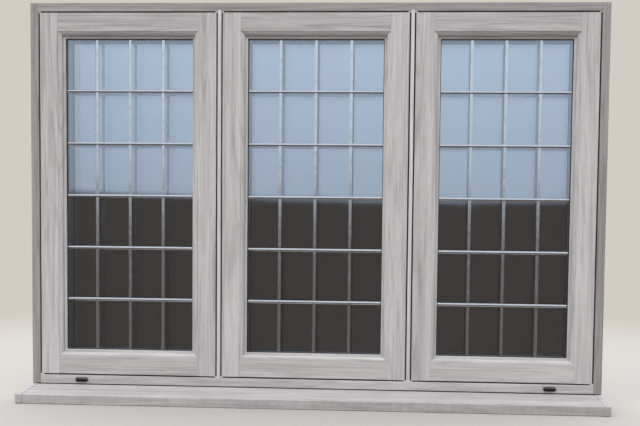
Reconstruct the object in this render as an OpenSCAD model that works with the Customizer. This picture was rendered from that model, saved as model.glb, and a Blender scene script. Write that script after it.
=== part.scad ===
// Three-light flush casement window with a projecting sill.
// X runs along the window, Y runs into the wall from the frame's outside face, Z is up.
// The origin is on the sill's underside, at mid width, below the frame's outside face.

/* [Frame] */
// Overall width of the outer frame
frame_w = 1800; // [1500:10:2400]
// Overall height of the outer frame, above the sill
frame_h = 1200; // [900:10:1500]
// Depth of the outer frame, through the wall
frame_depth = 75; // [72:1:100]
// Width of the frame's outside face at the head and the jambs
frame_face = 25; // [20:0.5:40]
// Height of the bottom rail's outside face, with the shadow groove at its foot
bottom_face = 29.5; // [26:0.5:45]
// Width of a mullion's outside face
mullion_face = 11; // [8:0.5:30]
// Distance between the two mullions' centre lines
mullion_pitch = 600; // [450:10:800]
// How far the inner stop stands in from the outside face's edge
stop_reach = 20; // [16:0.5:26]
// Thickness of the inner stop that the sashes close against
stop_thick = 30; // [25:1:38]
// Height of the shadow groove between the frame and the sill
groove_h = 2.5; // [1.5:0.5:4]
// Depth of the shadow groove
groove_depth = 6; // [3:0.5:12]

/* [Sashes] */
// Gap round each sash, seen from outside
sash_gap = 4.5; // [3:0.25:7]
// Flat part of a stile or a rail, from the sash's edge to the moulding
flat_face = 57; // [48:1:75]
// Depth of the quirk at the moulding's outer line
quirk = 1.5; // [0.8:0.1:2.5]
// Radius of the ovolo
ovolo_r = 15; // [14:0.5:22]
// Width of the ovolo
ovolo_w = 11.5; // [10:0.5:13.5]
// Width of the flat lip between the ovolo and the glass
lip_w = 8.5; // [6:0.5:12]
// Depth of the lip's outside face below the sash's face
lip_set = 12; // [11:0.5:13]
// Depth of the lip's back, where the gasket bears
lip_back = 17; // [16:0.5:19]
// Chamfer on the outside edges of the frame and the sashes
arris = 1; // [0.4:0.1:2]
// How far the sash's inner step is set in from its outside edge
step_in = 20; // [16:0.5:24]
// Thickness of the weather seal between a sash and the stop
seal_thick = 4; // [3:0.5:6]
// Width of the weather seal
seal_w = 8; // [5:0.5:10]

/* [Glazing] */
// How far the sealed unit reaches behind the lip
glass_cover = 9; // [8:0.5:12]
// Clearance between the sealed unit's edge and the sash
glass_clear = 5; // [3:0.5:6]
// Thickness of each pane
pane = 4; // [3:0.5:6]
// Width of the cavity between the two panes
cavity = 20; // [12:1:20]
// Width of the spacer bar round the cavity
spacer_w = 7; // [5:0.5:8]
// Depth of the edge seal outside the spacer bar
edge_seal = 1; // [0.5:0.25:2]
// Thickness of the outside gasket
gasket_thick = 3; // [2:0.5:4]
// Distance from the sealed unit's edge to the gasket's outer edge
gasket_set = 2; // [1:0.5:4]
// How far the gasket's nose shows past the lip
gasket_nose = 2; // [1:0.5:4]
// Depth of the glazing bead, from the inner pane to the sash's inside face
bead_depth = 22; // [18:1:26]
// Hairline at the beads' mitres
bead_gap = 0.3; // [0.1:0.1:1]

/* [Lead strips] */
// Panes across each sash
cols = 4; // [2:1:6]
// Panes up each sash
rows = 6; // [2:1:9]
// Width of a strip
lead_w = 9.5; // [6:0.5:14]
// Distance from the sealed unit's top and foot to where the level strips' set-out begins
row_margin = 6; // [0:0.5:12]
// Rise of an upright strip above the glass
upright_rise = 1.8; // [1:0.1:2.2]
// Rise of a level strip above the glass
level_rise = 2.2; // [1.4:0.1:2.6]
// Clearance between a strip's end and the gasket or the bead
lead_clear = 0.3; // [0.1:0.1:1]

/* [Sill] */
// Height of the sill's seat under the frame
sill_h = 30; // [25:1:45]
// How far the sill stands out from the frame's face
sill_out = 104; // [60:1:140]
// Fall of the sill's top from the frame to the nose
sill_fall = 14; // [6:1:20]
// Height of the nose
nose_h = 30; // [22:1:40]
// Thickness of the nose, front to back
nose_thick = 9; // [7:0.5:16]
// Radius of the nose's edges
nose_r = 3; // [1:0.5:3.4]
// Thickness of each end cap
cap_thick = 2.5; // [1.5:0.5:5]
// Width of the rim by which a cap laps over the sill's top and front
cap_lap = 18; // [10:1:30]
// Thickness of that rim
cap_rim = 1.2; // [0.8:0.1:2]

/* [Fittings] */
// Length of a drain cover
drain_w = 40; // [28:1:55]
// Height of a drain cover
drain_h = 14; // [10:0.5:18]
// How far a drain cover stands out
drain_out = 6; // [4:0.5:9]
// Thickness of a drain cover's walls
drain_wall = 1.75; // [1:0.25:2.5]
// Height of a drain cover's mouth
drain_mouth = 5.5; // [3:0.5:7]
// Distance from the frame's end to a drain cover's middle
drain_inset = 160; // [100:5:260]
// Length of a window handle's lever
handle_l = 120; // [90:5:150]
// Width of a handle's plate
plate_w = 28; // [22:1:32]
// Height of a handle's plate
plate_h = 70; // [55:1:90]
// Thickness of a handle's plate
plate_t = 9; // [6:0.5:12]
// Radius of a handle's neck
neck_r = 9; // [7:0.5:10]
// Length of a handle's neck, in front of its plate
neck_l = 22; // [16:1:30]
// Width of the lever at the neck
lever_w = 20; // [16:1:24]
// Thickness of the lever
lever_t = 11; // [8:0.5:14]
// Radius of the fixing holes through the jambs
fix_r = 4; // [3:0.25:5]
// Distance from the frame's ends to the first fixing hole
fix_inset = 150; // [100:5:250]
// Depth of the fixing holes' centre lines behind the frame's face
fix_set = 28; // [15:1:35]

/* [Hidden] */
$fn = 48;

// Overrun of a cutting shape past the face that it cuts
over = 2;

// Depths of the faces between the frame's two sides
stop_front = frame_depth - stop_thick;
sash_step = stop_front - seal_thick;

// The sash's section, from its outside edge inwards
ovolo_end = flat_face + ovolo_w;
sight = ovolo_end + lip_w;
glass_edge = sight - glass_cover;
rebate = glass_edge - glass_clear;

// The sealed unit, from its outside face inwards
glass_front = lip_back + gasket_thick;
cavity_front = glass_front + pane;
cavity_back = cavity_front + cavity;
glass_back = cavity_back + pane;
sash_back = glass_back + bead_depth;

// The frame stands on the sill
frame_z = sill_h;
sash_z = frame_z + bottom_face + sash_gap;
sash_h = frame_h - frame_face - bottom_face - 2 * sash_gap;

// Left edge and width of each sash: left, middle and right
mullion_x = mullion_pitch / 2;
side_x = frame_w / 2 - frame_face - sash_gap;
mullion_edge = mullion_face / 2 + sash_gap;
side_w = side_x - mullion_x - mullion_edge;
middle_w = mullion_pitch - 2 * mullion_edge;
LEFT = [-side_x, side_w];
MIDDLE = [-middle_w / 2, middle_w];
RIGHT = [side_x - side_w, side_w];

foil = [0.68, 0.67, 0.66];
foil_dark = [0.62, 0.61, 0.60];
lead_grey = [0.78, 0.79, 0.80];
black = [0.08, 0.08, 0.09];

// A block seen from the front: an outline in X and Z, run through the depth from y0 to y1
module slab(points, y0, y1) {
    translate([0, y1, 0]) rotate([90, 0, 0]) linear_extrude(height = y1 - y0) polygon(points);
}

// Swaps X and Z, so that a post becomes a rail
module laid() {
    mirror([1, 0, -1]) children();
}

// An upright of length l, whose section is the child, in X and Y.
// It is square at its ends up to the width butt, and mitred from there to the width reach.
module post(l, butt, reach) {
    intersection() {
        linear_extrude(height = l) children();
        slab([
            [-over, -over], [butt, -over], [butt, butt], [reach, reach],
            [reach, l - reach], [butt, l - butt], [butt, l + over], [-over, l + over]
        ], -over, frame_depth + over);
    }
}

// The upright's partner: it stands between the posts up to the width butt, then is mitred
module between(l, butt, reach) {
    intersection() {
        linear_extrude(height = l) children();
        slab([
            [-over, butt], [butt, butt], [reach, reach],
            [reach, l - reach], [butt, l - butt], [-over, l - butt]
        ], -over, frame_depth + over);
    }
}

// One side of a mitred ring, from the width near to the width far, short by gap at each mitre
module ring_side(l, near, far, gap) {
    intersection() {
        linear_extrude(height = l) children();
        slab([
            [near - over, near - over + gap], [far + over, far + over + gap],
            [far + over, l - far - over - gap], [near - over, l - near + over - gap]
        ], -over, frame_depth + over);
    }
}

// A mitred ring of four sides in a w by h opening, whose section is the child
module ring(w, h, near, far, gap) {
    ring_side(h, near, far, gap) children();
    translate([w, 0, 0]) mirror([1, 0, 0]) ring_side(h, near, far, gap) children();
    laid() ring_side(w, near, far, gap) children();
    translate([0, 0, h]) mirror([0, 0, 1]) laid() ring_side(w, near, far, gap) children();
}

// A rectangle of w by h with an even border cut away inside it, run from y0 to y1
module border(w, h, inset, width, y0, y1) {
    difference() {
        translate([inset, y0, inset]) cube([w - 2 * inset, y1 - y0, h - 2 * inset]);
        translate([inset + width, y0 - over, inset + width])
            cube([w - 2 * (inset + width), y1 - y0 + 2 * over, h - 2 * (inset + width)]);
    }
}

// The frame's section: an outside face of the given width, and the stop behind it
module frame_section(face) {
    polygon([
        [0, 0], [face - arris, 0], [face, arris], [face, stop_front],
        [face + stop_reach, stop_front], [face + stop_reach, frame_depth], [0, frame_depth]
    ]);
}

// The mullion's section, centred on X = 0, with the stop's two wings behind
module mullion_section() {
    half = mullion_face / 2;
    polygon([
        [-half + arris, 0], [half - arris, 0], [half, arris], [half, stop_front],
        [half + stop_reach, stop_front], [half + stop_reach, frame_depth],
        [-half - stop_reach, frame_depth], [-half - stop_reach, stop_front],
        [-half, stop_front], [-half, arris]
    ]);
}

// The pointed end of each mullion, let into the head and the bottom rail
module mullion_notches(face) {
    half = mullion_face / 2;
    tip = face - half;
    wide = half + stop_reach + over;
    for (x = [-mullion_x, mullion_x])
        slab([[x, tip], [x + wide, tip + wide], [x - wide, tip + wide]], -over, frame_depth + over);
}

module frame_head() {
    color(foil_dark)
    difference() {
        translate([-frame_w / 2, 0, frame_z + frame_h]) mirror([0, 0, 1])
            laid() between(frame_w, frame_face, frame_face + stop_reach + over)
            frame_section(frame_face);
        translate([0, 0, frame_z + frame_h]) mirror([0, 0, 1]) mullion_notches(frame_face);
    }
}

module frame_bottom_rail() {
    color(foil)
    difference() {
        translate([-frame_w / 2, 0, frame_z]) laid() bottom_rail_blank();
        translate([0, 0, frame_z]) mullion_notches(bottom_face);
        translate([-frame_w / 2, -over, frame_z - over])
            cube([frame_w, groove_depth + over, groove_h + over]);
    }
}

// The bottom rail before its notches: it stands between the jambs and is mitred to their stops
module bottom_rail_blank() {
    intersection() {
        linear_extrude(height = frame_w) frame_section(bottom_face);
        slab([
            [-over, frame_face], [bottom_face, frame_face],
            [bottom_face + stop_reach + over, frame_face + stop_reach + over],
            [bottom_face + stop_reach + over, frame_w - frame_face - stop_reach - over],
            [bottom_face, frame_w - frame_face], [-over, frame_w - frame_face]
        ], -over, frame_depth + over);
    }
}

// A jamb runs the full height, and its stop is mitred to the stops of the head and the rail
module jamb() {
    reach = stop_reach + over;
    difference() {
        intersection() {
            linear_extrude(height = frame_h) frame_section(frame_face);
            slab([
                [-over, -over], [frame_face, -over], [frame_face, bottom_face],
                [frame_face + reach, bottom_face + reach],
                [frame_face + reach, frame_h - frame_face - reach],
                [frame_face, frame_h - frame_face], [frame_face, frame_h + over],
                [-over, frame_h + over]
            ], -over, frame_depth + over);
        }
        translate([-over, -over, -over])
            cube([frame_face + 2 * over, groove_depth + over, groove_h + over]);
        fixing_holes();
    }
}

// Four evenly spaced fixing holes through the jamb, from the sash side to the wall
module fixing_holes() {
    pitch = (frame_h - 2 * fix_inset) / 3;
    for (i = [0 : 3])
        translate([-over, fix_set, fix_inset + i * pitch]) rotate([0, 90, 0])
            cylinder(r = fix_r, h = frame_face + 2 * over);
}

module frame_jamb_left() {
    color(foil_dark) translate([-frame_w / 2, 0, frame_z]) jamb();
}

module frame_jamb_right() {
    color(foil_dark) translate([frame_w / 2, 0, frame_z]) mirror([1, 0, 0]) jamb();
}

// A mullion: a T section with pointed ends
module mullion(x) {
    half = mullion_face / 2;
    wide = half + stop_reach + over;
    low = bottom_face - half;
    high = frame_h - frame_face + half;
    color(foil)
    translate([x, 0, frame_z])
    intersection() {
        linear_extrude(height = frame_h) mullion_section();
        slab([
            [0, low], [wide, low + wide], [wide, high - wide], [0, high],
            [-wide, high - wide], [-wide, low + wide]
        ], -over, frame_depth + over);
    }
}

// The sash's section: flat face, quirk, ovolo, lip, rebate for the glass and the inner step
module sash_section() {
    polygon([
        [0, arris], [arris, 0], [flat_face, 0], [flat_face, lip_back], [rebate, lip_back],
        [rebate, sash_back], [step_in, sash_back], [step_in, sash_step], [0, sash_step]
    ]);
    intersection() {
        translate([flat_face - over, quirk]) square([ovolo_w + over, lip_back - quirk]);
        translate([flat_face, quirk + ovolo_r]) circle(r = ovolo_r, $fn = 96);
    }
    polygon([
        [ovolo_end - over, lip_set], [sight - arris, lip_set], [sight, lip_set + arris],
        [sight, lip_back], [ovolo_end - over, lip_back]
    ]);
}

// A stile runs the sash's full height, and its inner step returns across its two ends
module sash_stile() {
    difference() {
        post(sash_h, flat_face, sight + over) sash_section();
        for (z = [-over, sash_h - step_in])
            translate([-over, sash_step, z])
                cube([sight + 2 * over, frame_depth, step_in + over]);
    }
}

module sash_stile_left(s) {
    color(foil) translate([s[0], 0, sash_z]) sash_stile();
}

module sash_stile_right(s) {
    color(foil) translate([s[0] + s[1], 0, sash_z]) mirror([1, 0, 0]) sash_stile();
}

module sash_bottom_rail(s) {
    color(foil) translate([s[0], 0, sash_z])
        laid() between(s[1], flat_face, sight + over) sash_section();
}

module sash_top_rail(s) {
    color(foil) translate([s[0], 0, sash_z + sash_h]) mirror([0, 0, 1])
        laid() between(s[1], flat_face, sight + over) sash_section();
}

// The dark gasket between the lip and the outer pane, with a sloping nose
module gasket(s) {
    back = glass_edge + gasket_set;
    color(black) translate([s[0], 0, sash_z]) ring(s[1], sash_h, back, sight + gasket_nose, 0)
        polygon([
            [back, lip_back], [sight + arris, lip_back],
            [sight + gasket_nose, glass_front], [back, glass_front]
        ]);
}

module outer_pane(s) {
    color([0.62, 0.70, 0.78, 0.5]) translate([s[0] + glass_edge, glass_front, sash_z + glass_edge])
        cube([s[1] - 2 * glass_edge, pane, sash_h - 2 * glass_edge]);
}

module inner_pane(s) {
    color([0.62, 0.70, 0.78, 0.5]) translate([s[0] + glass_edge, cavity_back, sash_z + glass_edge])
        cube([s[1] - 2 * glass_edge, pane, sash_h - 2 * glass_edge]);
}

module spacer(s) {
    color([0.25, 0.25, 0.26]) translate([s[0], 0, sash_z])
        border(s[1], sash_h, glass_edge + edge_seal, spacer_w, cavity_front, cavity_back);
}

// The flattened half-round section of a strip: its base on X, its crown towards -Y
module came(rise) {
    r = (lead_w * lead_w / 4 + rise * rise) / (2 * rise);
    intersection() {
        translate([0, r - rise]) circle(r = r, $fn = 96);
        translate([-lead_w / 2 - over, -rise - over]) square([lead_w + 2 * over, rise + over]);
    }
}

// A grid of strips with its base on the plane y = 0, whose ends stop at the inset end.
// The uprights are set out evenly over the sealed unit, and the level ones within the row margins.
module lead_grid(s, end) {
    wide = s[1] - 2 * glass_edge;
    high = sash_h - 2 * glass_edge;
    inset = end - glass_edge;
    for (i = [1 : cols - 1])
        translate([i * wide / cols, 0, inset]) linear_extrude(height = high - 2 * inset)
            came(upright_rise);
    for (i = [1 : rows - 1])
        translate([0, 0, row_margin + i * (high - 2 * row_margin) / rows]) laid()
            translate([0, 0, inset]) linear_extrude(height = wide - 2 * inset) came(level_rise);
}

module lead_outside(s) {
    color(lead_grey) translate([s[0] + glass_edge, glass_front, sash_z + glass_edge])
        lead_grid(s, sight + gasket_nose + lead_clear);
}

module lead_inside(s) {
    color(lead_grey) translate([s[0] + glass_edge, glass_back, sash_z + glass_edge])
        mirror([0, 1, 0]) lead_grid(s, sight + lead_clear);
}

// Four beads that hold the unit in from inside the room, each with a sloping face
module glazing_beads(s) {
    slope = bead_depth / 2;
    color(foil) translate([s[0], 0, sash_z]) ring(s[1], sash_h, rebate, sight, bead_gap)
        polygon([
            [rebate, glass_back], [sight, glass_back], [sight, glass_back + slope],
            [sight - slope / 2, sash_back], [rebate, sash_back]
        ]);
}

// The seals that each sash closes against, between its shoulder and the frame's stop
module weather_seals() {
    inset = (step_in - seal_w) / 2;
    color(black)
    for (s = [LEFT, MIDDLE, RIGHT])
        translate([s[0], 0, sash_z]) border(s[1], sash_h, inset, seal_w, sash_step, stop_front);
}

// The sill's section in Y and Z: a level seat, a sloping top and a nose that hangs as a drip
module sill_section() {
    top = sill_h - sill_fall;
    low = top - nose_h;
    front = -sill_out;
    polygon([
        [frame_depth, 0], [frame_depth, sill_h], [0, sill_h], [front + nose_r, top],
        for (a = [80 : -20 : 0]) [front + nose_r - nose_r * cos(a), top - nose_r + nose_r * sin(a)],
        for (a = [0 : 20 : 80]) [front + nose_r - nose_r * cos(a), low + nose_r - nose_r * sin(a)],
        [front + nose_r, low], [front + nose_thick, low], [front + nose_thick, 0]
    ]);
}

// A length of the sill's section, from x0 to x1
module sill_length(x0, x1) {
    translate([x0, 0, 0]) rotate([90, 0, 90]) linear_extrude(height = x1 - x0) sill_section();
}

module sill_board() {
    color(foil) sill_length(-frame_w / 2, frame_w / 2);
}

// The rim of an end cap in Y and Z: a skin on the sill's sloping top and its nose
module cap_rim_section() {
    low = sill_h - sill_fall - nose_h;
    difference() {
        offset(r = cap_rim) sill_section();
        sill_section();
        translate([-cap_rim, -sill_h]) square([frame_depth + 2 * over, 3 * sill_h]);
        translate([nose_r - sill_out, low - over]) square([sill_out, nose_h / 2 + over]);
        translate([-sill_out - over, low - 2 * over]) square([sill_out, 2 * over + nose_r]);
    }
}

// A cap closes the sill's left end: a plate, and a rim that laps over the sill
module sill_end_cap() {
    sill_length(-frame_w / 2 - cap_thick, -frame_w / 2);
    translate([-frame_w / 2 - cap_thick, 0, 0]) rotate([90, 0, 90])
        linear_extrude(height = cap_thick + cap_lap) cap_rim_section();
}

module sill_end_caps() {
    color(foil) sill_end_cap();
    color(foil) mirror([1, 0, 0]) sill_end_cap();
}

// A plate with round ends, w long and h high, that stands out from the plane y = 0 by t
module stadium(w, h, t) {
    r = h / 2;
    rotate([90, 0, 0]) {
        for (x = [-w / 2 + r, w / 2 - r]) translate([x, 0, 0]) cylinder(r = r, h = t);
        translate([-w / 2 + r, -r, 0]) cube([w - h, h, t]);
    }
}

// A hooded cover over a drain slot: closed above, with a long mouth below
module drain_cover(x) {
    mouth_w = drain_w - drain_h;
    color(black)
    translate([x, 0, frame_z + (bottom_face + groove_h) / 2])
    difference() {
        stadium(drain_w, drain_h, drain_out);
        translate([-mouth_w / 2, -drain_out - over, drain_wall - drain_h / 2])
            cube([mouth_w, drain_out - drain_wall + over, drain_mouth]);
    }
}

module drain_covers() {
    for (x = [-frame_w / 2 + drain_inset, frame_w / 2 - drain_inset]) drain_cover(x);
}

// A window handle at rest: a rose plate on the stile, a neck, and a lever that hangs down
module handle(x) {
    reach = plate_t + neck_l;
    tip_r = lever_w / 3;
    color([0.2, 0.2, 0.21])
    translate([x, sash_back, sash_z + sash_h / 2]) mirror([0, 1, 0]) {
        stadium_upright(plate_w, plate_h, plate_t);
        rotate([90, 0, 0]) cylinder(r = neck_r, h = reach);
        translate([0, -reach, 0]) rotate([90, 0, 0]) {
            cylinder(r = lever_w / 2, h = lever_t);
            translate([0, -handle_l, 0]) cylinder(r = tip_r, h = lever_t);
            linear_extrude(height = lever_t) polygon([
                [-lever_w / 2, 0], [-tip_r, -handle_l], [tip_r, -handle_l], [lever_w / 2, 0]
            ]);
        }
    }
}

// The same plate, standing on end
module stadium_upright(w, h, t) {
    rotate([0, 90, 0]) stadium(h, w, t);
}

module handle_left() {
    handle(LEFT[0] + LEFT[1] - (step_in + rebate) / 2);
}

module handle_right() {
    handle(RIGHT[0] + (step_in + rebate) / 2);
}

frame_head();
frame_bottom_rail();
frame_jamb_left();
frame_jamb_right();
mullion(-mullion_x);  // mullion_left
mullion(mullion_x);  // mullion_right
sill_board();
sill_end_caps();
sash_stile_left(LEFT);  // sash_left_stile_left
sash_stile_right(LEFT);  // sash_left_stile_right
sash_top_rail(LEFT);  // sash_left_top_rail
sash_bottom_rail(LEFT);  // sash_left_bottom_rail
sash_stile_left(MIDDLE);  // sash_middle_stile_left
sash_stile_right(MIDDLE);  // sash_middle_stile_right
sash_top_rail(MIDDLE);  // sash_middle_top_rail
sash_bottom_rail(MIDDLE);  // sash_middle_bottom_rail
sash_stile_left(RIGHT);  // sash_right_stile_left
sash_stile_right(RIGHT);  // sash_right_stile_right
sash_top_rail(RIGHT);  // sash_right_top_rail
sash_bottom_rail(RIGHT);  // sash_right_bottom_rail
gasket(LEFT);  // gasket_left
gasket(MIDDLE);  // gasket_middle
gasket(RIGHT);  // gasket_right
outer_pane(LEFT);  // outer_pane_left
outer_pane(MIDDLE);  // outer_pane_middle
outer_pane(RIGHT);  // outer_pane_right
spacer(LEFT);  // spacer_left
spacer(MIDDLE);  // spacer_middle
spacer(RIGHT);  // spacer_right
inner_pane(LEFT);  // inner_pane_left
inner_pane(MIDDLE);  // inner_pane_middle
inner_pane(RIGHT);  // inner_pane_right
lead_outside(LEFT);  // lead_outside_left
lead_outside(MIDDLE);  // lead_outside_middle
lead_outside(RIGHT);  // lead_outside_right
lead_inside(LEFT);  // lead_inside_left
lead_inside(MIDDLE);  // lead_inside_middle
lead_inside(RIGHT);  // lead_inside_right
glazing_beads(LEFT);  // glazing_beads_left
glazing_beads(MIDDLE);  // glazing_beads_middle
glazing_beads(RIGHT);  // glazing_beads_right
weather_seals();
drain_covers();
handle_left();
handle_right();
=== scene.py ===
# %% [markdown]
# # A flush casement window
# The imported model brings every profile, pane and strip of the window as a fixed part.
# This file adds what a drawing can't say: the woodgrain foil, the glass, the soft metal strips,
# and the small moulded fittings. Lengths are in metres, as Blender's are.

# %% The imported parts
import bmesh
import bpy
import math
from mathutils import Matrix, Vector


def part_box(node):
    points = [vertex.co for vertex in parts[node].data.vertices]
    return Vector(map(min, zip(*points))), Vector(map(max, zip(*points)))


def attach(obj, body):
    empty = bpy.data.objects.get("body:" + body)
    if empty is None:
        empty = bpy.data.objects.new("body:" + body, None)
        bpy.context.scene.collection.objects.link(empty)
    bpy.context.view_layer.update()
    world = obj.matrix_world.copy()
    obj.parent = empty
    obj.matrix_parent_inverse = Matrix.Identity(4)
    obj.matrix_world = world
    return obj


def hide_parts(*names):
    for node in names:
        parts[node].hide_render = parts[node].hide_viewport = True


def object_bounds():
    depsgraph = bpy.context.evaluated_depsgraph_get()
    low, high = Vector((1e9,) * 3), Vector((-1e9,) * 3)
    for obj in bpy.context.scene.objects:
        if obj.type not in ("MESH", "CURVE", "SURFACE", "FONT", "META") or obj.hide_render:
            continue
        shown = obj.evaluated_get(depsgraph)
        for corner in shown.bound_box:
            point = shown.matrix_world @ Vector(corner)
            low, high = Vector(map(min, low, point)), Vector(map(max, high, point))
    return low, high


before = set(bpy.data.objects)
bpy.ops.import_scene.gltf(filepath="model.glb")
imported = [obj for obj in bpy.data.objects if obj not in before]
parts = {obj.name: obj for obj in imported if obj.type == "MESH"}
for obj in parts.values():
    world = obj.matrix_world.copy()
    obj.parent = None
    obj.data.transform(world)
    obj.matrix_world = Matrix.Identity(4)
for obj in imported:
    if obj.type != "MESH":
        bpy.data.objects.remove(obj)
cad_box = [list(corner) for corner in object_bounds()]
bpy.ops.object.select_all(action="DESELECT")
SASHES = ("left", "middle", "right")
SIDES = ("left", "right")
print(len(parts), "parts, from", cad_box[0], "to", cad_box[1])

# %% [markdown]
# ## The camera
# The picture is taken from in front of the window, a little below its middle and a little to the
# right. The camera leans by less than a degree. Its shift keeps the posts upright in the picture,
# as a lens that is slid sideways does, so the camera needn't be turned far.

# %% The camera
PICTURE_W, PICTURE_H = 640, 426
SENSOR_W = 36
FOCAL_PIXELS = 738.3
AXIS_X, AXIS_Y = 376.9, 282.8  # where the lens's axis meets the picture, in pixels
CAMERA_PLACE = (0.300, -2.300, 0.467)
camera_data = bpy.data.cameras.new("camera")
camera = bpy.data.objects.new("camera", camera_data)
bpy.context.scene.collection.objects.link(camera)
yaw, pitch, roll = math.radians(-2.51), math.radians(-2.45), math.radians(0.74)
level = Vector((math.cos(yaw), -math.sin(yaw), 0))
forward = Vector((math.sin(yaw), math.cos(yaw), 0))
ahead = math.cos(pitch) * forward + math.sin(pitch) * Vector((0, 0, 1))
upward = level.cross(ahead)
across = math.cos(roll) * level + math.sin(roll) * upward
upward = math.cos(roll) * upward - math.sin(roll) * level
turned = Matrix((across, upward, -ahead)).transposed().to_4x4()
camera.matrix_world = Matrix.Translation(CAMERA_PLACE) @ turned
camera_data.sensor_width = SENSOR_W
camera_data.lens = FOCAL_PIXELS / PICTURE_W * SENSOR_W
camera_data.shift_x = (PICTURE_W / 2 - AXIS_X) / PICTURE_W
camera_data.shift_y = (AXIS_Y - PICTURE_H / 2) / PICTURE_W
bpy.context.scene.camera = camera
print("lens", round(camera_data.lens, 2), "mm")
print("shift", round(camera_data.shift_x, 3), round(camera_data.shift_y, 3))

# %% [markdown]
# ## Sums on a finish
# A finish is a material made of nodes. Drawn by hand, each sum is a node and two wires, and a long
# one is hard to read. So a small class holds a socket and turns an ordinary sum into Math nodes,
# and one method makes every other node: its settings first, then its sockets.

# %% A socket that can be added and multiplied
class Signal:
    """A socket of a node graph. A sum on it adds Math nodes."""

    def __init__(self, graph, socket):
        self.graph, self.socket = graph, socket

    def maths(self, operation, first, second=0.0):
        return self.graph.node("ShaderNodeMath", {"operation": operation}, {0: first, 1: second})

    def __add__(self, other):
        return self.maths("ADD", self, other)

    def __sub__(self, other):
        return self.maths("SUBTRACT", self, other)

    def __rsub__(self, other):
        return self.maths("SUBTRACT", other, self)

    def __mul__(self, other):
        return self.maths("MULTIPLY", self, other)

    def __lt__(self, other):
        return self.maths("LESS_THAN", self, other)

    def __abs__(self):
        return self.maths("ABSOLUTE", self)

    def most(self, other):
        return self.maths("MAXIMUM", self, other)

    def sine(self):
        return self.maths("SINE", self)

    __radd__ = __add__
    __rmul__ = __mul__

# %% A graph and its one way to make a node
class Graph:
    """The nodes of a material or of the world."""

    def __init__(self, owner):
        owner.use_nodes = True
        self.owner = owner
        self.nodes = owner.node_tree.nodes
        self.links = owner.node_tree.links

    def plug(self, socket, value):
        """Links a signal to a socket, or writes a number or a colour on it."""
        if isinstance(value, Signal):
            self.links.new(value.socket, socket)
        elif isinstance(value, tuple) and len(value) == 3 and socket.type == "RGBA":
            socket.default_value = (*value, 1)
        else:
            socket.default_value = value

    def node(self, kind, settings, sockets, out=0):
        """Makes a node and gives one of its outputs, by its number or by its name."""
        made = self.nodes.new(kind)
        for name, value in settings.items():
            setattr(made, name, value)
        for key, value in sockets.items():
            self.plug(made.inputs[key], value)
        shown = [o for o in made.outputs if o.enabled]
        return Signal(self, shown[out] if isinstance(out, int) else made.outputs[out])

    def noise(self, place, scale, detail=2.0, roughness=0.5, distortion=0.0):
        sockets = {"Vector": place, "Scale": scale, "Detail": detail, "Roughness": roughness,
                   "Distortion": distortion}
        return self.node("ShaderNodeTexNoise", {}, sockets)

    def mapping(self, place, squeeze, shift=(0, 0, 0)):
        sockets = {"Vector": place, "Location": shift, "Scale": squeeze}
        return self.node("ShaderNodeMapping", {}, sockets)

    def blend(self, share, first, second):
        """A colour from first, at share 0, to second, at share 1."""
        settings = {"data_type": "RGBA"}
        return self.node("ShaderNodeMix", settings, {0: share, 6: first, 7: second})

    def step(self, value, low, high):
        """A smooth rise from 0 where the value is low to 1 where it is high."""
        sockets = {"Value": value, "From Min": low, "From Max": high}
        return self.node("ShaderNodeMapRange", {"interpolation_type": "SMOOTHSTEP"}, sockets)

    def bump(self, height, strength, distance):
        sockets = {"Strength": strength, "Distance": distance, "Height": height}
        return self.node("ShaderNodeBump", {}, sockets)

# %% A finish
class Finish(Graph):
    """A material with one Principled shader. Plain numbers go straight onto its sockets."""

    def __init__(self, name, **plain):
        super().__init__(bpy.data.materials.new(name))
        self.shader = self.nodes["Principled BSDF"]
        self.place = self.node("ShaderNodeTexCoord", {}, {}, "Object")
        self.show(**plain)

    def along(self, axis):
        """How far a point lies along X, Y or Z."""
        return self.node("ShaderNodeSeparateXYZ", {}, {0: self.place}, axis)

    def show(self, **values):
        for socket, value in values.items():
            self.plug(self.shader.inputs[socket.replace("_", " ")], value)
        return self.owner

def dress(names, material):
    """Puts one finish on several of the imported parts."""
    for name in names:
        for slot in parts[name].material_slots:
            slot.material = material
    print(material.name, "on", len(names), "parts")

# %% [markdown]
# ## Woodgrain foil
# The profiles are plastic, wrapped in a printed and embossed foil that looks like limed oak. The
# print has soft bands, long streaks, short dark pores and, here and there, the pointed loops of a
# flat-sawn board. A picture could do it, but a stretched noise gives the same layers at any size,
# and no two profiles repeat. The loops are the contour lines of a slow noise, drawn by a sine.
# Long profiles that stand have their grain upright, and rails have theirs level.

# %% The layers of the print
ALONG_X = (0.045, 1.0, 1.0)
ALONG_Z = (1.0, 1.0, 0.045)
LOOPS = 85  # how closely the contour lines of the slow noise follow each other

def oak_layers(foil, squeeze, seed):
    """Band, streak, pore and loop strengths of the print, each from 0 to 1."""
    if callable(squeeze):
        squeeze = squeeze(foil)
    board = foil.mapping(foil.place, squeeze, (seed, seed, seed))
    band = foil.noise(board, scale=14, detail=2, roughness=0.5, distortion=0.6)
    streak = foil.noise(board, scale=85, detail=4, roughness=0.65, distortion=0.5)
    pore = foil.noise(board, scale=620, detail=2, roughness=0.6)
    growth = foil.noise(board, scale=16, detail=2, roughness=0.35, distortion=0.25)
    loop = (growth * LOOPS).sine()
    return (foil.step(band, 0.34, 0.68), foil.step(streak, 0.36, 0.66),
            foil.step(pore, 0.56, 0.72), foil.step(loop, 0.25, 0.98))

# %% The foil
GRIME, HIGHLIGHT_TONE, JOINT_AND_SHADE = (0.30, 0.285, 0.265), (0.80, 0.785, 0.80), (0.05, 0.048, 0.045)

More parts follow.
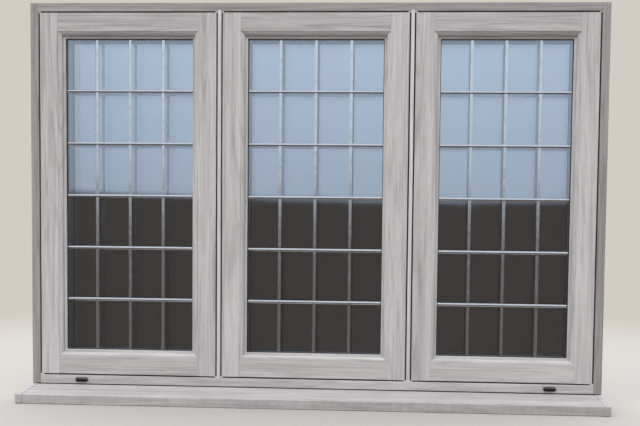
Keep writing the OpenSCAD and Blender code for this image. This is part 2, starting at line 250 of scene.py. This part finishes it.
def woodgrain(name, squeeze, tones, seed, drawn=None, grime=0.0, painted_highlight=None):
    """A foil finish. Drawn takes the foil and gives the strength of its dark lines: joints, and on
    some profiles painted shade. The last argument does the same for a painted highlight."""
    pale, deep = tones
    foil = Finish(name, Specular_IOR_Level=0.35)
    band, streak, pore, loop = oak_layers(foil, squeeze, seed)
    colour = foil.blend(band * 0.36 + streak * 0.44 + loop * 0.26, pale, deep)
    colour = foil.blend(pore * 0.35, colour, tuple(c * 0.5 for c in deep))
    if grime:
        cloud = foil.noise(foil.place, scale=7, detail=5, roughness=0.62, distortion=0.4)
        colour = foil.blend(foil.step(cloud, 0.44, 0.72) * grime, colour, GRIME)
    # A painted highlight, where one is given.
    if painted_highlight:
        colour = foil.blend(painted_highlight(foil), colour, HIGHLIGHT_TONE)
    # Dark joint lines, and on the jambs and top rails painted shade.
    if drawn:
        colour = foil.blend(drawn(foil), colour, JOINT_AND_SHADE)
    emboss = foil.bump(streak * 0.35 - pore * 0.65, strength=0.35, distance=0.0004)
    return foil.show(Base_Color=colour, Roughness=streak * 0.12 + 0.50, Normal=emboss)

# Each cut of the print has a pale and a deep tone. The jambs', head's and top rails' tones are
# darker copies of the one foil, as painted shade, and the bottom rails' tone is a lighter copy, as
# painted light.
SHADED_FRAME_OAK = (0.341, 0.315, 0.310), (0.207, 0.189, 0.184)
MULLION_OAK = (0.60, 0.573, 0.574), (0.41, 0.387, 0.385)
SASH_OAK = (0.527, 0.503, 0.504), (0.308, 0.290, 0.288)
SHADED_TOP_OAK = (0.485, 0.463, 0.464), (0.283, 0.267, 0.265)
LIT_RAIL_OAK = (0.544, 0.514, 0.510), (0.326, 0.303, 0.299)
SILL_OAK = (0.456, 0.426, 0.427), (0.318, 0.296, 0.294)

# %% [markdown]
# ## The foil on the profiles
# A real window is cut from long lengths of foiled profile, so the grain turns at each corner and a
# hairline shows where a rail meets a stile. Each group of profiles gets its own cut of the print.
# The frame's and top rails' cuts are darker and the bottom rails' lighter, as painted shade and
# light.
# A painted highlight lies on the moulding over a bottom rail, and painted shade on the one under a
# top rail.

# %% Where the joints lie
FOOT_FACE, HEAD_FACE = 0.0295, 0.025  # height of the bottom rail's and the head's outside face
MULLION_EDGE = 0.010  # half a mullion's face and the gap beside it
JAMB_GROOVE_SHADE = 0.8865  # how far a painted line of shade, for a groove on each jamb's face, is from the window's middle

def ends(name):
    """How far a rail's two ends are from the window's middle."""
    low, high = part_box(name)
    return {round(abs(low.x), 4), round(abs(high.x), 4)}

rail_ends = sorted(set().union(*(ends(f"sash_{s}_top_rail") for s in SASHES)))
mullion_x = sum(corner.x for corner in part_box("mullion_right")) / 2
foot_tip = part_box("frame_bottom_rail")[0].z + FOOT_FACE - MULLION_EDGE
head_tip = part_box("frame_head")[1].z - HEAD_FACE + MULLION_EDGE
print("rail joints", rail_ends, "mullions", round(mullion_x, 4))
print("mullion tips", round(foot_tip, 4), round(head_tip, 4))

# %% Lines that show the joints
HAIRLINE, POINT_LINE = 0.0006, 0.0008  # half a line's width
UPWARD, DOWNWARD = 1, -1

def hairlines(distances, strength):
    """Upright lines at these distances from the window's middle."""
    def drawn(foil):
        apart = abs(foil.along("X"))
        joint = 0.0
        for distance in distances:
            joint = (abs(apart - distance) < HAIRLINE).most(joint)
        return joint * strength
    return drawn

def pointed_joints(tip, way):
    """A V at each mullion: its tip is at the height tip, and it opens upward or downward."""
    def drawn(foil):
        beside = abs(abs(foil.along("X")) - mullion_x)
        rise = (foil.along("Z") - tip) * way
        return (abs(beside - rise) < POINT_LINE) * 0.3
    return drawn

rail_joints = hairlines(rail_ends, 0.45)

# %% Rain runs, painted shade and a painted highlight
MILLIMETRE = 0.001
MOULDING = 0.020  # a moulding's width, and the depth behind the frame's face that it stays within
LIP = 0.008  # width of the moulding's edge beside the glass
nose_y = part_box("sill_board")[0].y
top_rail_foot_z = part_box("sash_left_top_rail")[0].z
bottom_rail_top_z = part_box("sash_left_bottom_rail")[1].z
print("mouldings end at the heights", round(bottom_rail_top_z, 4), round(top_rail_foot_z, 4))

def rain_runs(foil):
    """Faint dark runs down the sill's nose."""
    hung = foil.mapping(foil.place, (1.0, 1.0, 0.1))
    run = foil.step(foil.noise(hung, scale=70, detail=3, roughness=0.6), 0.42, 0.70)
    return run * 0.10 * (foil.along("Y") < nose_y + MILLIMETRE)

def joints_and_painted_shade(foil):
    """The joints of a top rail, and painted shade on the moulding under it."""
    moulding = (foil.along("Z") - top_rail_foot_z < MOULDING) * (foil.along("Y") < MOULDING)
    return (moulding * 0.30).most(rail_joints(foil))

def painted_highlight_mask(foil):
    """A painted highlight on the moulding over a bottom rail, strongest on its lip beside the
    glass.
    """
    moulding = 1 - foil.step(bottom_rail_top_z - foil.along("Z"), LIP, MOULDING)
    return moulding * (foil.along("Y") < MOULDING) * 0.16

# %% Grain that turns at the mitres
def mitred(name):
    """Level grain on a ring's head and foot, upright grain on its sides, parted at the mitres."""
    low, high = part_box(name)
    middle, half = (low + high) / 2, (high - low) / 2
    def squeeze(foil):
        in_x = half.x - abs(foil.along("X") - middle.x)
        in_z = half.z - abs(foil.along("Z") - middle.z)
        grain = {0: in_z < in_x, 4: ALONG_Z, 5: ALONG_X}
        return foil.node("ShaderNodeMix", {"data_type": "VECTOR"}, grain)
    return squeeze

# %% Foil on the frame and the sill
foot_foil = woodgrain("foot foil", ALONG_X, LIT_RAIL_OAK, 8.4, pointed_joints(foot_tip, UPWARD))
dress(["frame_jamb_left", "frame_jamb_right"],
      woodgrain("jamb foil", ALONG_Z, SHADED_FRAME_OAK, 1.3, hairlines([JAMB_GROOVE_SHADE], 0.22)))
dress(["frame_head"],
      woodgrain("head foil", ALONG_X, SHADED_FRAME_OAK, 2.1, pointed_joints(head_tip, DOWNWARD)))
dress(["frame_bottom_rail"], foot_foil)
dress(["mullion_left", "mullion_right"], woodgrain("mullion foil", ALONG_Z, MULLION_OAK, 5.2))
dress(["sill_board", "sill_end_caps"],
      woodgrain("sill foil", ALONG_X, SILL_OAK, 6.2, rain_runs, grime=0.35))

# %% Foil on the sashes
dress([f"sash_{s}_stile_{side}" for s in SASHES for side in SIDES],
      woodgrain("sash foil upright", ALONG_Z, SASH_OAK, 3.7))
dress([f"sash_{s}_top_rail" for s in SASHES],
      woodgrain("top rail foil", ALONG_X, SHADED_TOP_OAK, 9.1, joints_and_painted_shade))
dress([f"sash_{s}_bottom_rail" for s in SASHES],
      woodgrain("bottom rail foil", ALONG_X, LIT_RAIL_OAK, 4.9, rail_joints, painted_highlight=painted_highlight_mask))
for s in SASHES:
    beads = f"glazing_beads_{s}"
    dress([beads], woodgrain(f"bead foil {s}", mitred(beads), SASH_OAK, 7.7))

# %% [markdown]
# ## The glass
# By day a pane mirrors the sky far more than it shows the darker side behind it. Glass that only
# bends light would show the pale studio through it. So each pane is a thin mirror: the outer one
# lets most of the light by, and the inner one hardly any. The two mirror the strips twice, as in
# the picture. Glass is never quite flat, and a very weak bump lets the mirrored sky swim a little.

# %% Panes
def pane_finish(name, tint, alpha):
    glass = Finish(name, Base_Color=tint, Metallic=1.0, Alpha=alpha)
    film = glass.step(glass.noise(glass.place, scale=30, detail=4, roughness=0.6), 0.55, 0.8)
    swim = glass.noise(glass.place, scale=2.2, detail=1)
    wave = glass.bump(swim, strength=0.10, distance=0.002)
    return glass.show(Roughness=film * 0.05 + 0.02, Normal=wave)

dress([f"outer_pane_{s}" for s in SASHES], pane_finish("outer glass", (0.90, 0.93, 0.97), 0.26))
dress([f"inner_pane_{s}" for s in SASHES], pane_finish("inner glass", (0.80, 0.84, 0.88), 0.90))

# %% [markdown]
# ## Soft metal strips
# The strips are thin rolled metal, stuck to the glass. They have dulled to a pale grey, with a
# darker bloom in patches.

# %% Strips
def strip_finish():
    metal = Finish("strip metal", Metallic=0.93)
    bloom = metal.step(metal.noise(metal.place, scale=45, detail=4, roughness=0.6), 0.40, 0.70)
    colour = metal.blend(bloom * 0.4, (0.88, 0.855, 0.84), (0.70, 0.685, 0.675))
    dents = metal.bump(bloom, strength=0.15, distance=0.0002)
    return metal.show(Base_Color=colour, Roughness=bloom * 0.08 + 0.14, Normal=dents)

strip_metal = strip_finish()
dress([f"lead_{side}_{s}" for side in ("outside", "inside") for s in SASHES], strip_metal)

# %% [markdown]
# ## Rubber, spacers and black plastic
# These stay dark and dull. Each gets a little dust, because an even black reads as a hole. The
# upper half of a drain cover is painted lighter, as a painted highlight.

# %% Rubber and black plastic
COVER_HIGHLIGHT = (0.085, 0.079, 0.078)

def dusty_finish(name, dark, dull, highlight_from=None):
    """The last argument, where given, is the height above which the piece is painted lighter, as a
    painted highlight.
    """
    black = Finish(name, Specular_IOR_Level=0.3)
    dust = black.step(black.noise(black.place, scale=60, detail=4, roughness=0.6), 0.45, 0.75)
    colour = black.blend(dust * 0.4, dark, tuple(c + 0.03 for c in dark))
    # A painted highlight on the upper part, where a height is given.
    if highlight_from:
        lit_top = black.step(black.along("Z"), highlight_from, highlight_from + 3 * MILLIMETRE)
        colour = black.blend(lit_top * 0.9, colour, COVER_HIGHLIGHT)
    return black.show(Base_Color=colour, Roughness=dust * 0.15 + dull)

gasket_rubber = dusty_finish("gasket rubber", (0.012, 0.013, 0.014), 0.62)
dress([f"gasket_{s}" for s in SASHES] + ["weather_seals"], gasket_rubber)
cover_highlight_z = sum(corner.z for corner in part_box("drain_covers")) / 2
black_plastic = dusty_finish("black plastic", (0.014, 0.014, 0.015), 0.42, cover_highlight_z)
dress(["drain_covers", "handle_left", "handle_right"], black_plastic)

# %% Spacer bars
def spacer_finish():
    bar = Finish("spacer bar", Metallic=0.8)
    line = bar.noise(bar.place, scale=300)
    colour = bar.blend(line, (0.36, 0.37, 0.38), (0.24, 0.245, 0.25))
    return bar.show(Base_Color=colour, Roughness=line * 0.2 + 0.3)

dress([f"spacer_{s}" for s in SASHES], spacer_finish())

# %% [markdown]
# ## Making pieces by hand
# A new piece starts as a primitive at its place, and is shaped in edit mode. Edit mode works on
# what is selected, so three helpers select: one a lone object, one the faces that pass a test on
# their middle and direction, and one the edges that pass a test on their ends.

# %% Selecting
def alone(piece):
    """Selects one piece and nothing else."""
    bpy.ops.object.select_all(action="DESELECT")
    piece.select_set(True)
    bpy.context.view_layer.objects.active = piece

def pick(piece, kind, holds):
    """Selects a piece's faces or edges that pass a test. Works in edit mode."""
    bpy.ops.mesh.select_mode(type=kind)
    bpy.ops.mesh.select_all(action="DESELECT")
    mesh = bmesh.from_edit_mesh(piece.data)
    for element in (mesh.faces if kind == "FACE" else mesh.edges):
        element.select = holds(element)
    bmesh.update_edit_mesh(piece.data)

def pick_faces(piece, test):
    """Selects the faces for which test(middle, normal) holds."""
    pick(piece, "FACE", lambda face: test(face.calc_center_median(), face.normal))

def pick_edges(piece, test):
    """Selects the edges for which test(first end, second end) holds."""
    pick(piece, "EDGE", lambda edge: test(edge.verts[0].co, edge.verts[1].co))

# %% Tests for faces and edges
SQUARE_ON = 0.9  # a face looks one way when this much of its normal points that way
CLOSE, NEAR = 1e-5, 1e-4

def looks_out(middle, normal):
    return normal.y < -SQUARE_ON

def looks_in(middle, normal):
    return normal.y > SQUARE_ON

def runs_in(a, b):
    """Whether an edge runs from a piece's outside to its inside."""
    return abs(a.y - b.y) > MILLIMETRE

# %% Starting, copying and finishing
ROUNDED = 0.98  # the share of half a width that a bevel takes to round an end

def apply_place():
    """Writes the place, turn and size of the selected object into its mesh."""
    bpy.ops.object.transform_apply(location=True, rotation=True, scale=True)

def block(name, low, high):
    """A block between two corners, its place in its mesh, open in edit mode."""
    middle = [(a + b) / 2 for a, b in zip(low, high)]
    size = [b - a for a, b in zip(low, high)]
    bpy.ops.object.select_all(action="DESELECT")
    bpy.ops.mesh.primitive_cube_add(size=1, location=middle, scale=size)
    piece = bpy.context.object
    piece.name = name
    apply_place()
    bpy.ops.object.mode_set(mode="EDIT")
    return piece

def moved_copy(piece, name, shift):
    """A second piece with a mesh of its own, shift metres along the window from the first."""
    alone(piece)
    bpy.ops.object.duplicate()
    bpy.ops.transform.translate(value=(shift, 0, 0))
    bpy.context.object.name = name
    return bpy.context.object

def placed_copy(model, place, turn, axis):
    """A copy with a mesh of its own, turned about an axis and set down at a place."""
    copy = bpy.data.objects.new("pad", model.data.copy())
    bpy.context.scene.collection.objects.link(copy)
    copy.matrix_world = Matrix.Translation(place) @ Matrix.Rotation(turn, 4, axis)
    return copy

def joined(pieces, name):
    """One piece made of several."""
    alone(pieces[0])
    for piece in pieces:
        piece.select_set(True)
    bpy.ops.object.join()
    pieces[0].name = name
    return pieces[0]

def finish_piece(piece, material):
    """Smooths the round parts of a piece, and gives it its finish and its ride."""
    alone(piece)
    apply_place()
    bpy.ops.object.shade_smooth_by_angle(angle=math.radians(40))
    piece.data.materials.clear()
    piece.data.materials.append(material)
    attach(piece, "root")
    print(piece.name, len(piece.data.polygons), "faces")

# %% [markdown]
# ## Crossings
# Where a level strip passes over an upright one, it is pressed down with a bone and swells into a
# low pad. One pad is modelled from a sphere cut at the glass, then copied to every crossing.

# %% One pad
SWELL = (0.0066, 0.0027, 0.0056)  # half its width, depth and height

def crossing_pad():
    bpy.ops.object.select_all(action="DESELECT")
    bpy.ops.mesh.primitive_uv_sphere_add(segments=16, ring_count=8, radius=1)
    pad = bpy.context.object
    pad.scale = SWELL
    apply_place()
    bpy.ops.object.mode_set(mode="EDIT")
    bpy.ops.mesh.select_all(action="SELECT")
    bpy.ops.mesh.bisect(plane_co=(0, 0, 0), plane_no=(0, 1, 0), use_fill=True, clear_outer=True)
    bpy.ops.object.mode_set(mode="OBJECT")
    return pad

one_pad = crossing_pad()
print("one pad,", len(one_pad.data.polygons), "faces")

# %% Pads at every crossing
COLS, ROWS, ROW_MARGIN = 4, 6, 0.006

def crossings(side, sash):
    """The pads on one side of a sash's glass."""
    pane = "outer" if side == "outside" else "inner"
    low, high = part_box(f"{pane}_pane_{sash}")
    face, turn = (low.y, 0) if side == "outside" else (high.y, math.pi)
    copies = []
    for i in range(1, COLS):
        for j in range(1, ROWS):
            x = low.x + (high.x - low.x) * i / COLS
            z = low.z + ROW_MARGIN + (high.z - low.z - 2 * ROW_MARGIN) * j / ROWS
            copies.append(placed_copy(one_pad, (x, face, z), turn, "Z"))
    finish_piece(joined(copies, f"crossings_{side}_{sash}"), strip_metal)

for sash in SASHES:
    crossings("outside", sash)
    crossings("inside", sash)
bpy.data.objects.remove(one_pad)

# %% [markdown]
# ## Drain covers
# Rain that gets into the frame runs out of a slot in the bottom rail. A clip-on hood keeps the
# wind out of it: a plate with round ends, domed at the front, with a long mouth under the dome.

# %% A drain cover
DRAIN_X = 0.74
COVER_HALF_W, MOUTH_HALF_W = 0.020, 0.012
DOME, RIM, CROWN = 0.0018, 0.0016, 0.0012  # the dome's rise, and the widths of its two rings
MOUTH_RIM, MOUTH_DEPTH = 0.0004, 0.0042

def drain_cover(name, middle):
    low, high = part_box("drain_covers")
    half_h = (high.z - low.z) / 2
    middle_z = low.z + half_h
    cover = block(name, (middle - COVER_HALF_W, low.y + DOME, low.z),
                  (middle + COVER_HALF_W, high.y, high.z))
    pick_edges(cover, runs_in)
    bpy.ops.mesh.bevel(offset=half_h * ROUNDED, segments=10)
    pick_faces(cover, looks_out)
    bpy.ops.mesh.inset(thickness=RIM, depth=0)
    bpy.ops.transform.translate(value=(0, -DOME, 0))
    bpy.ops.mesh.inset(thickness=CROWN, depth=0)
    bpy.ops.mesh.bisect(plane_co=(0, 0, middle_z - MOUTH_RIM), plane_no=(0, 0, 1))

    def under_crown(c, n):
        on_dome = looks_out(c, n) and c.y < low.y + NEAR
        return on_dome and c.z < middle_z - MILLIMETRE and abs(c.x - middle) < MOUTH_HALF_W

    pick_faces(cover, under_crown)
    bpy.ops.mesh.inset(thickness=MOUTH_RIM, depth=0)
    bpy.ops.mesh.extrude_region_move(TRANSFORM_OT_translate={"value": (0, MOUTH_DEPTH, 0)})
    bpy.ops.object.mode_set(mode="OBJECT")
    return cover

cover = drain_cover("drain_cover_left", -DRAIN_X)
for piece in (cover, moved_copy(cover, "drain_cover_right", 2 * DRAIN_X)):
    finish_piece(piece, black_plastic)
    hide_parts("drain_covers")

# %% [markdown]
# ## Handles
# On the room side each opening sash has a handle: a round-ended plate, a waisted neck and a lever
# that tapers and thins toward its tip. The lever is one block, pulled down in steps, each step
# narrower than the last, and then softened along its edges.

# %% Satin metal
def satin_finish():
    metal = Finish("satin metal", Metallic=1.0, Anisotropic=0.4)
    brushed = metal.mapping(metal.place, (1.0, 1.0, 0.02))
    hair = metal.noise(brushed, scale=2200, detail=3, roughness=0.6)
    colour = metal.blend(hair, (0.50, 0.50, 0.505), (0.40, 0.40, 0.405))
    grooves = metal.bump(hair, strength=0.1, distance=0.0001)
    return metal.show(Base_Color=colour, Roughness=hair * 0.12 + 0.28, Normal=grooves)

satin_metal = satin_finish()

# %% A plate
PLATE_HALF_W, PLATE_HALF_H, PLATE_THICK = 0.014, 0.035, 0.009
PLATE_RIM, PLATE_STEP, PLATE_DIP = 0.0012, 0.0010, 0.0008

def handle_plate(middle, wall, z):
    low = middle - PLATE_HALF_W, wall, z - PLATE_HALF_H
    high = middle + PLATE_HALF_W, wall + PLATE_THICK, z + PLATE_HALF_H
    plate = block("plate", low, high)
    pick_edges(plate, runs_in)
    bpy.ops.mesh.bevel(offset=PLATE_HALF_W * ROUNDED, segments=10)
    pick_faces(plate, looks_in)
    bpy.ops.mesh.inset(thickness=PLATE_RIM, depth=0)
    bpy.ops.mesh.inset(thickness=PLATE_STEP, depth=0)
    bpy.ops.transform.translate(value=(0, -PLATE_DIP, 0))
    bpy.ops.object.mode_set(mode="OBJECT")
    return plate

# %% A neck
LEVER_NEAR, LEVER_FAR = 0.031, 0.042  # how far the lever's two faces stand off the sash
NECK_RADIUS, NECK_FOOT = 0.009, 0.0082
NECK_CUTS = (0.15, 0.25, 0.5, 0.75, 0.85)  # shares of the neck's length
WAIST_START, WAIST_END, WAIST_WIDTH = 0.24, 0.76, 0.80

def handle_neck(middle, wall, z):
    low_y, high_y = wall + NECK_FOOT, wall + LEVER_NEAR
    length = high_y - low_y
    spot, turn = (middle, (low_y + high_y) / 2, z), (math.pi / 2, 0, 0)
    bpy.ops.object.select_all(action="DESELECT")
    bpy.ops.mesh.primitive_cylinder_add(vertices=32, radius=NECK_RADIUS, depth=length,
                                        location=spot, rotation=turn)
    neck = bpy.context.object
    apply_place()
    bpy.ops.object.mode_set(mode="EDIT")
    for share in NECK_CUTS:
        bpy.ops.mesh.select_all(action="SELECT")
        bpy.ops.mesh.bisect(plane_co=(0, low_y + length * share, 0), plane_no=(0, 1, 0))
    waist = low_y + length * WAIST_START, low_y + length * WAIST_END
    pick_edges(neck, lambda a, b: waist[0] < a.y < waist[1] and abs(a.y - b.y) < CLOSE)
    bpy.ops.transform.resize(value=(WAIST_WIDTH, 1, WAIST_WIDTH), center_override=(middle, 0, z))
    bpy.ops.object.mode_set(mode="OBJECT")
    return neck

# %% A lever
LEVER_HALF_W, TIP_ROUND, LEVER_ARRIS = 0.010, 0.0058, 0.0020
# Each step is a drop, and the share of its width and of its thickness that the lever keeps.
LEVER_STEPS = ((0.020, 0.93, 1.0), (0.030, 0.90, 0.93), (0.030, 0.90, 0.93), (0.0364, 0.88, 0.92))
lever_drop = sum(drop for drop, width, thick in LEVER_STEPS)
print("the lever hangs", round(lever_drop, 4), "m below its head")

def handle_lever(middle, wall, z):
    near, far, half = wall + LEVER_NEAR, wall + LEVER_FAR, LEVER_HALF_W
    lever = block("lever", (middle - half, near, z - half), (middle + half, far, z + half))
    core = (middle, (near + far) / 2, 0)
    for drop, width, thick in LEVER_STEPS:
        pick_faces(lever, lambda c, n: n.z < -SQUARE_ON)
        bpy.ops.mesh.extrude_region_move(TRANSFORM_OT_translate={"value": (0, 0, -drop)})
        bpy.ops.transform.resize(value=(width, thick, 1), center_override=core)
    top, foot = z + half, z - half - lever_drop
    pick_edges(lever, lambda a, b: runs_in(a, b) and a.z > top - NEAR)
    bpy.ops.mesh.bevel(offset=half * ROUNDED, segments=8)
    pick_edges(lever, lambda a, b: runs_in(a, b) and a.z < foot + NEAR)
    bpy.ops.mesh.bevel(offset=TIP_ROUND, segments=6)
    pick_edges(lever, lambda a, b: not runs_in(a, b) and max(a.y, b.y) > far - 3 * MILLIMETRE)
    bpy.ops.mesh.bevel(offset=LEVER_ARRIS, segments=3)
    bpy.ops.object.mode_set(mode="OBJECT")
    return lever

# %% The two handles
handle_x = {side: sum(corner.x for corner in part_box(f"handle_{side}")) / 2 for side in SIDES}

def handle(name, middle):
    low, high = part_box("handle_left")
    spot = middle, low.y, high.z - PLATE_HALF_H
    return joined([handle_lever(*spot), handle_plate(*spot), handle_neck(*spot)], name)

left = handle("handle_left_satin", handle_x["left"])
right = moved_copy(left, "handle_right_satin", handle_x["right"] - handle_x["left"])
for piece, side in ((left, "left"), (right, "right")):
    finish_piece(piece, satin_metal)
    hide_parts(f"handle_{side}")

# %% [markdown]
# ## Seals in the gaps
# A black seal lies a few millimetres down in the gap round each sash, and another fills the groove
# between the frame and the sill. They keep the wind out, and their black also serves as painted
# shade for the dark gaps and groove.
# Each ring is a block with a window cut through it: both of its faces are inset, and the two
# windows are bridged. The side sashes are alike, so the right one's seal is a copy.

# %% A seal round each sash
GAP = 0.0045
SEAL_FRONT, SEAL_BACK, SEAL_ARRIS = 0.0035, 0.0065, 0.0012

def sash_box(sash):
    """A sash's lowest and highest corners, from its two stiles."""
    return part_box(f"sash_{sash}_stile_left")[0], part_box(f"sash_{sash}_stile_right")[1]

def gap_seal(sash):
    low, high = sash_box(sash)
    centre = (low + high) / 2
    seal = block(f"gap_seal_{sash}", (low.x - GAP, SEAL_FRONT, low.z - GAP),
                 (high.x + GAP, SEAL_BACK, high.z + GAP))
    pick_faces(seal, lambda c, n: looks_out(c, n) or looks_in(c, n))
    bpy.ops.mesh.inset(thickness=GAP, depth=0, use_individual=True)

    def in_window(c, n):
        off_centre = abs(c.x - centre.x) + abs(c.z - centre.z)
        return abs(n.y) > SQUARE_ON and off_centre < 10 * MILLIMETRE

    def front_rims(a, b):
        straight = min(abs(a.x - b.x), abs(a.z - b.z)) < CLOSE
        return straight and max(a.y, b.y) < SEAL_FRONT + CLOSE

    pick_faces(seal, in_window)
    bpy.ops.mesh.delete(type="FACE")
    bpy.ops.mesh.select_mode(type="EDGE")
    bpy.ops.mesh.select_non_manifold()
    bpy.ops.mesh.bridge_edge_loops()
    pick_edges(seal, front_rims)
    bpy.ops.mesh.bevel(offset=SEAL_ARRIS, segments=3)
    bpy.ops.object.mode_set(mode="OBJECT")
    return seal

left_seal, middle_seal = gap_seal("left"), gap_seal("middle")
apart = sash_box("right")[0].x - sash_box("left")[0].x
for seal in (left_seal, middle_seal, moved_copy(left_seal, "gap_seal_right", apart)):
    finish_piece(seal, gasket_rubber)

# %% A seal in the groove over the sill
OVERRUN, GROOVE_ARRIS = 0.02, 0.0008
GROOVE_FRONT, GROOVE_BACK = -0.0012, 0.0060
GROOVE_FOOT, GROOVE_TOP = -0.0006, 0.0030  # heights above the bottom rail's underside
low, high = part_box("frame_bottom_rail")
groove = block("groove_seal", (low.x - OVERRUN, GROOVE_FRONT, low.z + GROOVE_FOOT),
               (high.x + OVERRUN, GROOVE_BACK, low.z + GROOVE_TOP))
pick_edges(groove, lambda a, b: abs(a.x - b.x) > 1 and a.y < 0)
bpy.ops.mesh.bevel(offset=GROOVE_ARRIS, segments=3)
bpy.ops.object.mode_set(mode="OBJECT")
finish_piece(groove, gasket_rubber)

# %% [markdown]
# ## Corner pads
# The dark line round each sash stops a little short of each corner, where the frame's own corner
# is welded and cleaned off round. A small pad of foil closes the gap there. The pads at the outer
# lower corners are the longest. Each is a block with its inner end and its front edges eased. A
# short one and a long one are modelled for the left, and half a turn makes them fit the right.

# %% Pads at the corners
PAD_FRONT, PAD_BACK = 0.0006, 0.0036
TIP_ARRIS, FRONT_ARRIS = 0.0012, 0.0005

def corner_pad(reach):
    """A pad for a sash whose left edge is at 0, in the middle of the gap's height."""
    pad = block("pad", (-GAP, PAD_FRONT, -GAP / 2), (reach, PAD_BACK, GAP / 2))
    pick_edges(pad, lambda a, b: runs_in(a, b) and a.x > reach - CLOSE)
    bpy.ops.mesh.bevel(offset=TIP_ARRIS, segments=3)
    pick_edges(pad, lambda a, b: max(a.y, b.y) < PAD_FRONT + NEAR)
    bpy.ops.mesh.bevel(offset=FRONT_ARRIS, segments=2)
    bpy.ops.object.mode_set(mode="OBJECT")
    return pad

short_pad, long_pad = corner_pad(0.0035), corner_pad(0.0075)
pads = []
for sash in SASHES:
    low, high = sash_box(sash)
    foot, head = low.z - GAP / 2, high.z + GAP / 2
    for side, edge, turn in (("left", low.x, 0), ("right", high.x, math.pi)):
        lower = long_pad if sash == side else short_pad
        pads.append(placed_copy(lower, (edge, 0, foot), turn, "Y"))
        pads.append(placed_copy(short_pad, (edge, 0, head), turn, "Y"))
finish_piece(joined(pads, "corner_pads"), foot_foil)
for model in (short_pad, long_pad):
    bpy.data.objects.remove(model)

# %% [markdown]
# ## Floor and light
# The window stands on a pale floor. Close by, the floor is paper and takes the window's shadow.
# Farther off it fades into the plain tone of the background, so that no side shows its edge.
# The light is a dull sky, brightest overhead, with one soft lamp to give the mouldings a side.

# %% The floor
BACKGROUND = (0.652, 0.604, 0.552)
FLOOR_RADIUS, FLOOR_RIM = 9, 1
FADE_START, FADE_END = 1.3, 4.2
floor_z = cad_box[0][2]
bpy.ops.object.select_all(action="DESELECT")
bpy.ops.mesh.primitive_circle_add(vertices=96, radius=FLOOR_RADIUS, fill_type="NGON",
                                  location=(0, 0, floor_z))
floor = bpy.context.object
floor.name = "floor"
apply_place()
bpy.ops.object.mode_set(mode="EDIT")
bpy.ops.mesh.select_all(action="SELECT")
bpy.ops.mesh.inset(thickness=FLOOR_RIM, depth=0)
bpy.ops.object.mode_set(mode="OBJECT")
print("floor at", round(floor_z, 4))

# %% Paper for the floor
def ray_kind(graph, kind):
    """1 for rays of one kind, such as the camera's, and 0 for the others."""
    return graph.node("ShaderNodeLightPath", {}, {}, kind)

paper = Finish("floor paper", Roughness=0.9, Specular_IOR_Level=0.1)
mottle = paper.noise(paper.place, scale=1.5, detail=3)
paper.show(Base_Color=paper.blend(mottle * 0.3, (0.365, 0.345, 0.325), (0.35, 0.331, 0.311)))
away = paper.node("ShaderNodeVectorMath", {"operation": "LENGTH"}, {0: paper.place}, "Value")
far = paper.step(away, FADE_START, FADE_END) * ray_kind(paper, "Is Camera Ray")
plain = paper.node("ShaderNodeEmission", {}, {"Color": BACKGROUND, "Strength": 1.0})
clear = paper.node("ShaderNodeBsdfTransparent", {}, {})
seen = Signal(paper, paper.shader.outputs[0])
for share, other in ((far, plain), (ray_kind(paper, "Is Glossy Ray"), clear)):
    seen = paper.node("ShaderNodeMixShader", {}, {0: share, 1: seen, 2: other})
paper.plug(paper.nodes["Material Output"].inputs["Surface"], seen)
floor.data.materials.append(paper.owner)

# %% The lamp
LAMP_PLACE, LAMP_AIM = Vector((-4.6, -5.6, 2.6)), Vector((0, 0, 0.6))
lamp_data = bpy.data.lights.new("key lamp", "AREA")
lamp_data.shape, lamp_data.size, lamp_data.energy = "DISK", 3.6, 90
lamp = bpy.data.objects.new("key lamp", lamp_data)
bpy.context.scene.collection.objects.link(lamp)
lamp.location = LAMP_PLACE
lamp.rotation_euler = (LAMP_AIM - LAMP_PLACE).to_track_quat("-Z", "Y").to_euler()
lamp.visible_glossy = False
print(lamp.name, lamp_data.energy, "W")

# %% The world
# Light rays see the dull sky, the camera sees the plain background, and mirrors see a blue sky
# over dark ground. The blue is a little duller low down.
HORIZON = 0.062, 0.076  # where the ground ends and where the sky begins
world = Graph(bpy.data.worlds.new("sky"))
bpy.context.scene.world = world.owner
ray = world.node("ShaderNodeTexCoord", {}, {}, "Generated")
height = world.node("ShaderNodeSeparateXYZ", {}, {0: ray}, "Z")
dull = world.blend(world.step(height, 0.15, 1.0), (0.36, 0.364, 0.37), (3.25, 3.30, 3.36))
blue = world.blend(height * 4.2, (0.397, 0.465, 0.547), (0.563, 0.66, 0.797))
mirrored = world.blend(world.step(height, *HORIZON), (0.062, 0.053, 0.048), blue)

def backdrop(colour):
    return world.node("ShaderNodeBackground", {}, {"Color": colour, "Strength": 1.0})

even = world.nodes["Background"]
world.plug(even.inputs["Color"], dull)
surface = Signal(world, even.outputs[0])
for kind, colour in (("Is Camera Ray", BACKGROUND), ("Is Glossy Ray", mirrored)):
    shares = {0: ray_kind(world, kind), 1: surface, 2: backdrop(colour)}
    surface = world.node("ShaderNodeMixShader", {}, shares)
world.plug(world.nodes["World Output"].inputs["Surface"], surface)
print("world with", len(world.nodes), "nodes")

# %% [markdown]
# ## The view
# Colours are shown with Blender's standard view transform.

# %% Finish
bpy.context.scene.view_settings.view_transform = "Standard"
